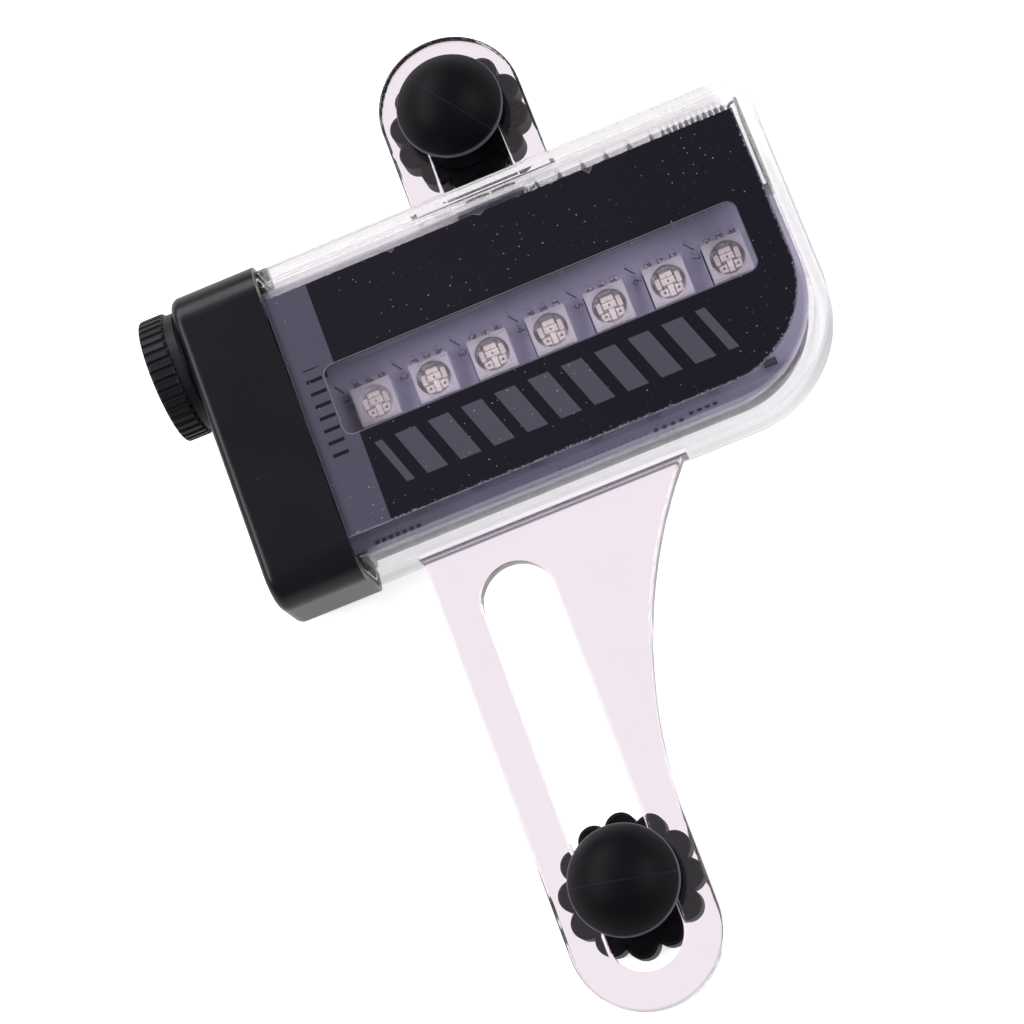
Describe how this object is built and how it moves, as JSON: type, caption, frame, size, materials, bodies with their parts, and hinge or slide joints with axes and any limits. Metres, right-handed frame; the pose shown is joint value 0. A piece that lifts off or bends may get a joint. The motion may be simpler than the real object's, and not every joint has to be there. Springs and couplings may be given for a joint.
{
  "type": "spoke wheel light",
  "caption": "Clear battery light for a bicycle wheel, with lamps on both faces, a knurled cell cap and two slotted arms whose screw clamps grip spokes.",
  "frame": {"origin": "under the middle of the whole light, level with the end cap's back face", "axes": "+X along the housing to its closed rounded end, +Y from the long arm to the short arm, +Z out of the front face with the mushroom heads"},
  "size_m": [0.0784, 0.1194, 0.0156],
  "materials": {
    "clear_plastic": "polished clear, faint lilac tint",
    "black_gloss_plastic": "satin gloss",
    "black_matte_plastic": "fine matte",
    "seal_rubber": "matte",
    "nickel_contact": "plated",
    "cell_steel": "satin",
    "spring_wire": "bright drawn wire",
    "circuit_board": "solder mask",
    "chip_epoxy": "matte",
    "ferrite": "matte",
    "capacitor_ceramic": "matte",
    "led_ceramic": "matte",
    "led_resin": "clear resin",
    "label_film": "satin film"
  },
  "bodies": {
    "housing": {"clear_case": "clear_plastic", "end_cap": "black_gloss_plastic", "cap_gasket": "seal_rubber", "battery_spring": "spring_wire", "spring_plate": "nickel_contact", "contact_strip": "nickel_contact", "led_board": "circuit_board", "controller_chip": "chip_epoxy", "boost_inductor": "ferrite", "motion_switch": "cell_steel", "chip_resistors": "chip_epoxy", "chip_capacitors": "capacitor_ceramic", "front_led_resin": "led_resin", "rear_led_resin": "led_resin", "front_led_terminals": "nickel_contact", "rear_led_terminals": "nickel_contact", "front_label": "label_film", "rear_label": "label_film", "front_led_1": "led_ceramic", "front_led_2": "led_ceramic", "front_led_3": "led_ceramic", "front_led_4": "led_ceramic", "front_led_5": "led_ceramic", "front_led_6": "led_ceramic", "front_led_7": "led_ceramic", "rear_led_1": "led_ceramic", "rear_led_2": "led_ceramic", "rear_led_3": "led_ceramic", "rear_led_4": "led_ceramic", "rear_led_5": "led_ceramic", "rear_led_6": "led_ceramic", "rear_led_7": "led_ceramic"},
    "cap_seal_ring": {"cap_seal": "seal_rubber"},
    "battery_cap": {"screw_cap": "black_gloss_plastic", "cap_contact": "nickel_contact"},
    "battery": {"battery_cell": "cell_steel"},
    "lower_clamp": {"lower_clamp_screw": "black_matte_plastic"},
    "lower_washer": {"lower_clamp_washer": "black_matte_plastic"},
    "lower_nut": {"lower_clamp_nut": "black_matte_plastic"},
    "upper_clamp": {"upper_clamp_screw": "black_matte_plastic"},
    "upper_washer": {"upper_clamp_washer": "black_matte_plastic"},
    "upper_nut": {"upper_clamp_nut": "black_matte_plastic"}
  },
  "joints": [
    {"name": "battery_cap_lift", "type": "slide", "parent": "housing", "child": "cap_seal_ring", "axis": [-1, 0, 0], "range_m": [0, 0.005]},
    {"name": "battery_cap_turn", "type": "hinge", "parent": "cap_seal_ring", "child": "battery_cap", "pos_m": [-0.03447, 0.03245, 0.0078], "axis": [-1, 0, 0], "range_deg": [0, 900]},
    {"name": "battery_follow", "type": "slide", "parent": "housing", "child": "battery", "axis": [-1, 0, 0], "range_m": [0, 0.005], "deforming": ["battery_spring"]},
    {"name": "lower_clamp_slide", "type": "slide", "parent": "housing", "child": "lower_clamp", "axis": [0, 1, 0], "range_m": [-0.0062, 0.0354]},
    {"name": "lower_nut_travel", "type": "slide", "parent": "lower_clamp", "child": "lower_washer", "axis": [0, 0, -1], "range_m": [-0.002, 0.003]},
    {"name": "lower_nut_turn", "type": "hinge", "parent": "lower_washer", "child": "lower_nut", "pos_m": [-0.00788, -0.04462, 0.0039], "axis": [0, 0, -1], "range_deg": [-480, 720]},
    {"name": "upper_clamp_slide", "type": "slide", "parent": "housing", "child": "upper_clamp", "axis": [0, 1, 0], "range_m": [-0.002, 0.0006]},
    {"name": "upper_nut_travel", "type": "slide", "parent": "upper_clamp", "child": "upper_washer", "axis": [0, 0, -1], "range_m": [-0.002, 0.003]},
    {"name": "upper_nut_turn", "type": "hinge", "parent": "upper_washer", "child": "upper_nut", "pos_m": [0.00539, 0.05039, 0.0039], "axis": [0, 0, -1], "range_deg": [-480, 720]}
  ],
  "couplings": [
    {"joint": "battery_cap_turn", "follows": "battery_cap_lift", "rad_per_m": 3141.5},
    {"joint": "battery_follow", "follows": "battery_cap_lift", "ratio": 1},
    {"joint": "lower_nut_turn", "follows": "lower_nut_travel", "rad_per_m": 4188.7},
    {"joint": "upper_nut_turn", "follows": "upper_nut_travel", "rad_per_m": 4188.7}
  ]
}
